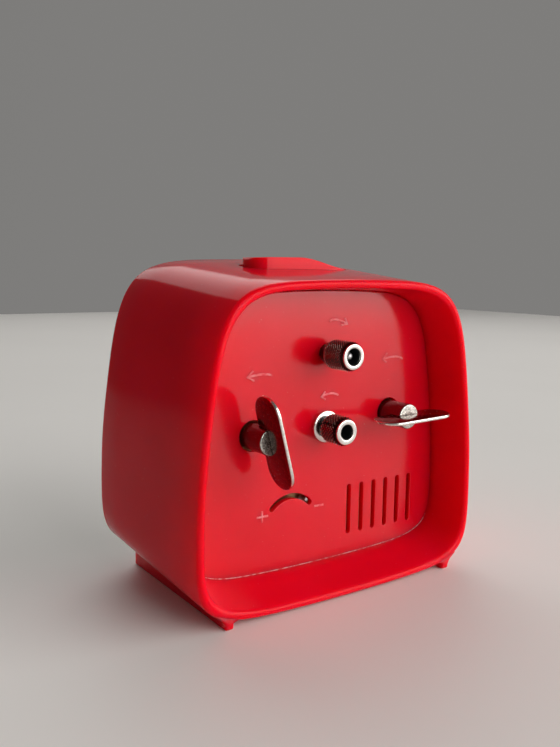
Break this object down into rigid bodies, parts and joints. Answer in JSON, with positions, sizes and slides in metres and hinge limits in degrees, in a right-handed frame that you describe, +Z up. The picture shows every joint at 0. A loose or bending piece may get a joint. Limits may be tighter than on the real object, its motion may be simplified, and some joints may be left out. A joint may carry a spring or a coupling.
{
  "type": "wind-up alarm clock",
  "caption": "Wind-up alarm clock in a red television-shaped case, with a recessed back, butterfly winding keys, knurled setting knobs, sound slots and a rocker on top.",
  "frame": {"origin": "centre of the bounding box's base, on the surface that the clock stands on", "axes": "+X to the right as seen from the dial, +Y towards the winding keys, +Z up"},
  "size_m": [0.1072, 0.0604, 0.0983],
  "materials": {
    "red_plastic": "polished moulded plastic, lightly scuffed at the rim",
    "nickel": "nickel plate, knurled on the knobs",
    "brass": "satin stamped brass",
    "steel": "turned steel",
    "blued_steel": "blued spring steel",
    "silver_trim": "bright metallised trim",
    "clear_plastic": "clear domed acrylic",
    "dial_card": "off-white printed dial",
    "hand_black": "black enamel",
    "hand_red": "red enamel",
    "bell_metal": "plated steel"
  },
  "bodies": {
    "case": {"case_shell": "red_plastic", "back_panel": "red_plastic", "front_bezel": "silver_trim", "crystal": "clear_plastic", "dial_plate": "dial_card", "rocker_pin": "steel", "front_plate": "brass", "rear_plate": "brass", "pillar_1": "brass", "pillar_2": "brass", "pillar_3": "brass", "pillar_4": "brass", "plate_screw_1": "steel", "plate_screw_2": "steel", "plate_screw_3": "steel", "plate_screw_4": "steel", "knob_flange": "nickel", "bell": "bell_metal", "bell_post": "steel", "pallet_bridge": "brass", "time_mainspring": "blued_steel", "alarm_mainspring": "blued_steel"},
    "rocker": {"alarm_rocker": "red_plastic", "shutoff_link": "steel"},
    "time_barrel": {"time_great_wheel": "brass"},
    "time_pawl": {"time_click": "steel"},
    "time_key": {"time_key_hub": "nickel", "time_key_wing": "nickel", "time_arbor": "steel", "time_ratchet": "steel"},
    "alarm_barrel": {"alarm_great_wheel": "brass"},
    "alarm_pawl": {"alarm_click": "steel"},
    "alarm_key": {"alarm_key_hub": "nickel", "alarm_key_wing": "nickel", "alarm_arbor": "steel", "alarm_ratchet": "steel"},
    "centre": {"centre_wheel": "brass"},
    "third": {"third_wheel": "brass"},
    "fourth": {"fourth_wheel": "brass"},
    "escape": {"escape_wheel": "brass"},
    "lever": {"pallet_lever": "steel"},
    "balance": {"balance_wheel": "brass", "hairspring": "blued_steel"},
    "regulator_arm": {"regulator": "steel"},
    "hand_setting": {"time_set_knob": "nickel", "centre_arbor": "steel", "cannon_pinion": "brass", "minute_hand": "hand_black"},
    "minute_motion": {"minute_wheel": "brass"},
    "hour": {"hour_wheel": "brass", "hour_hand": "hand_black"},
    "alarm_setting": {"alarm_set_knob": "nickel", "alarm_set_arbor": "steel"},
    "alarm_pointer": {"alarm_wheel": "brass", "alarm_hand": "hand_red"},
    "alarm_escape": {"alarm_escape_wheel": "brass"},
    "hammer": {"alarm_hammer": "steel"}
  },
  "joints": [
    {"name": "rocker_tilt", "type": "hinge", "parent": "case", "child": "rocker", "pos_m": [-0.003, -0.00565, 0.0909], "axis": [0, 1, 0], "range_deg": [0, 8]},
    {"name": "fourth_spin", "type": "hinge", "parent": "case", "child": "fourth", "pos_m": [-0.01108, -0.00925, 0.02267], "axis": [0, 1, 0], "continuous": true},
    {"name": "escape_spin", "type": "hinge", "parent": "case", "child": "escape", "pos_m": [-0.00081, -0.00555, 0.01788], "axis": [0, 1, 0], "continuous": true},
    {"name": "third_spin", "type": "hinge", "parent": "case", "child": "third", "pos_m": [-0.00471, 0.00545, 0.03372], "axis": [0, 1, 0], "continuous": true},
    {"name": "centre_spin", "type": "hinge", "parent": "case", "child": "centre", "pos_m": [-0.0008, -0.00715, 0.0483], "axis": [0, 1, 0], "continuous": true},
    {"name": "time_barrel_spin", "type": "hinge", "parent": "case", "child": "time_barrel", "pos_m": [0.0247, -0.00275, 0.0481], "axis": [0, 1, 0], "continuous": true},
    {"name": "time_winding", "type": "hinge", "parent": "time_barrel", "child": "time_key", "pos_m": [0.0247, 0.02302, 0.0481], "axis": [0, 1, 0], "range_deg": [-1000, 890]},
    {"name": "time_click_lift", "type": "hinge", "parent": "time_barrel", "child": "time_pawl", "pos_m": [0.0295, -0.00425, 0.05641], "axis": [0, 1, 0], "range_deg": [0, 12], "stiffness_Nm_per_rad": 0.0001},
    {"name": "alarm_barrel_spin", "type": "hinge", "parent": "case", "child": "alarm_barrel", "pos_m": [-0.0262, -0.00075, 0.0503], "axis": [0, 1, 0], "continuous": true},
    {"name": "alarm_winding", "type": "hinge", "parent": "alarm_barrel", "child": "alarm_key", "pos_m": [-0.0262, 0.02302, 0.0503], "axis": [0, 1, 0], "range_deg": [-1000, 890]},
    {"name": "alarm_click_lift", "type": "hinge", "parent": "alarm_barrel", "child": "alarm_pawl", "pos_m": [-0.0214, -0.00225, 0.05861], "axis": [0, 1, 0], "range_deg": [0, 12], "stiffness_Nm_per_rad": 0.0001},
    {"name": "alarm_escape_spin", "type": "hinge", "parent": "case", "child": "alarm_escape", "pos_m": [-0.02912, -0.00555, 0.03376], "axis": [0, 1, 0], "continuous": true},
    {"name": "hammer_swing", "type": "hinge", "parent": "case", "child": "hammer", "pos_m": [-0.0385, 0.00235, 0.034], "axis": [0, 1, 0], "range_deg": [-5, 14]},
    {"name": "lever_rock", "type": "hinge", "parent": "case", "child": "lever", "pos_m": [0.0054, -0.00545, 0.0186], "axis": [0, 1, 0], "range_deg": [-8, 8]},
    {"name": "balance_swing", "type": "hinge", "parent": "case", "child": "balance", "pos_m": [0.0111, -0.00005, 0.0191], "axis": [0, 1, 0], "range_deg": [-220, 220], "stiffness_Nm_per_rad": 0.00002, "deforming": ["hairspring"]},
    {"name": "regulator_shift", "type": "hinge", "parent": "case", "child": "regulator_arm", "pos_m": [0.0111, 0.01055, 0.0191], "axis": [0, 1, 0], "range_deg": [-6, 80]},
    {"name": "hand_set_spin", "type": "hinge", "parent": "case", "child": "hand_setting", "pos_m": [-0.0008, 0.01985, 0.0483], "axis": [0, 1, 0], "continuous": true},
    {"name": "minute_spin", "type": "hinge", "parent": "case", "child": "minute_motion", "pos_m": [-0.0008, -0.01415, 0.0387], "axis": [0, 1, 0], "continuous": true},
    {"name": "hour_spin", "type": "hinge", "parent": "case", "child": "hour", "pos_m": [-0.0008, -0.01585, 0.0483], "axis": [0, 1, 0], "continuous": true},
    {"name": "alarm_set_spin", "type": "hinge", "parent": "case", "child": "alarm_setting", "pos_m": [-0.0008, 0.01985, 0.0704], "axis": [0, 1, 0], "continuous": true},
    {"name": "alarm_pointer_spin", "type": "hinge", "parent": "case", "child": "alarm_pointer", "pos_m": [-0.0008, -0.01765, 0.0483], "axis": [0, 1, 0], "continuous": true}
  ],
  "couplings": [
    {"joint": "escape_spin", "follows": "fourth_spin", "ratio": -8},
    {"joint": "third_spin", "follows": "fourth_spin", "ratio": -0.13333},
    {"joint": "centre_spin", "follows": "fourth_spin", "ratio": 0.016667},
    {"joint": "time_barrel_spin", "follows": "fourth_spin", "ratio": -0.0027778},
    {"joint": "minute_spin", "follows": "hand_set_spin", "ratio": -0.33333},
    {"joint": "hour_spin", "follows": "hand_set_spin", "ratio": 0.083333},
    {"joint": "alarm_pointer_spin", "follows": "alarm_set_spin", "ratio": -0.25},
    {"joint": "alarm_escape_spin", "follows": "alarm_barrel_spin", "ratio": -5}
  ]
}
